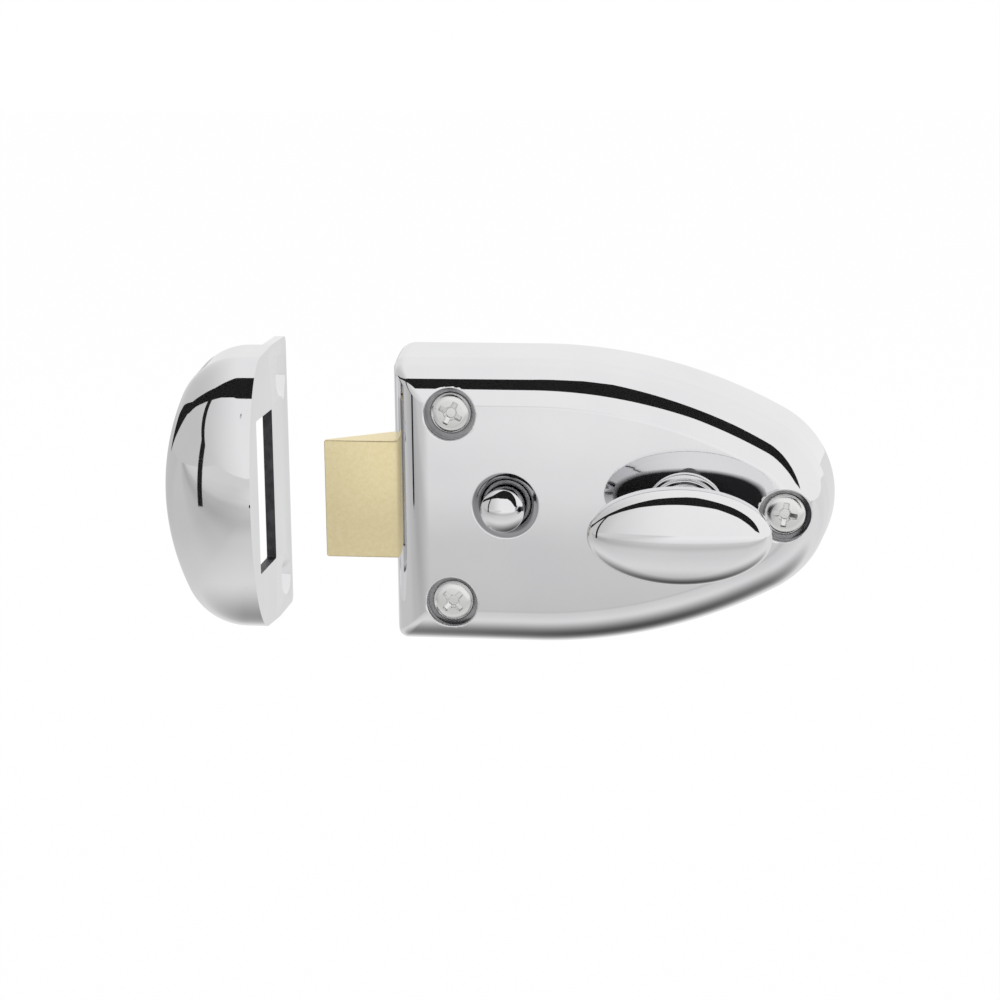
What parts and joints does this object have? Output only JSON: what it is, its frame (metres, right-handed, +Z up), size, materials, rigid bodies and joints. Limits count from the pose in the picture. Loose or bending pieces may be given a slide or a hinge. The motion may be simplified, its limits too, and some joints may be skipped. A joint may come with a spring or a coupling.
{
  "type": "privacy bolt",
  "caption": "Surface-mounted latch with bevelled brass bolt, oval turn knob, hold button and domed box strike.",
  "frame": {"origin": "On the spindle axis at the door face, the plane of the back plate.", "axes": "+Y points into the door, +Z up, +X away from the strike; the knob faces -Y."},
  "size_m": [0.137, 0.0593, 0.06],
  "materials": {
    "chrome_plate": "mirror polished",
    "satin_brass": "satin machined",
    "nickel_screw": "bright nickel",
    "spring_steel": "drawn wire",
    "zinc_steel": "zinc plated"
  },
  "bodies": {
    "base": {"case": "chrome_plate", "back_plate": "zinc_steel", "screw_upper": "nickel_screw", "screw_lower": "nickel_screw", "screw_nose": "nickel_screw", "knob_collar": "chrome_plate", "snib_guide": "zinc_steel", "spring_guide_upper": "zinc_steel", "spring_guide_lower": "zinc_steel", "bolt_spring_upper": "spring_steel", "bolt_spring_lower": "spring_steel", "snib_spring": "spring_steel", "strike": "chrome_plate"},
    "latch": {"bolt": "satin_brass", "bolt_tail": "zinc_steel", "bolt_rivet_upper": "zinc_steel", "bolt_rivet_lower": "zinc_steel"},
    "turn": {"knob": "chrome_plate", "spindle": "zinc_steel", "follower": "zinc_steel", "drive_pin": "zinc_steel", "hub_pin": "zinc_steel", "thrust_washer": "zinc_steel"},
    "button": {"snib_button": "chrome_plate"}
  },
  "joints": [
    {"name": "knob_turn", "type": "hinge", "parent": "base", "child": "turn", "pos_m": [0, 0, 0], "axis": [0, 1, 0], "range_deg": [0, 60], "stiffness_Nm_per_rad": 0.054, "springref_deg": -27.67},
    {"name": "bolt_slide", "type": "slide", "parent": "base", "child": "latch", "axis": [1, 0, 0], "range_m": [0, 0.013], "deforming": ["bolt_spring_upper", "bolt_spring_lower"]},
    {"name": "snib_press", "type": "slide", "parent": "base", "child": "button", "axis": [0, 1, 0], "range_m": [0, 0.003], "stiffness_N_per_m": 600, "springref_m": -0.003, "deforming": ["snib_spring"]}
  ],
  "couplings": [
    {"joint": "bolt_slide", "follows": "knob_turn", "m_per_rad": 0.012414}
  ]
}
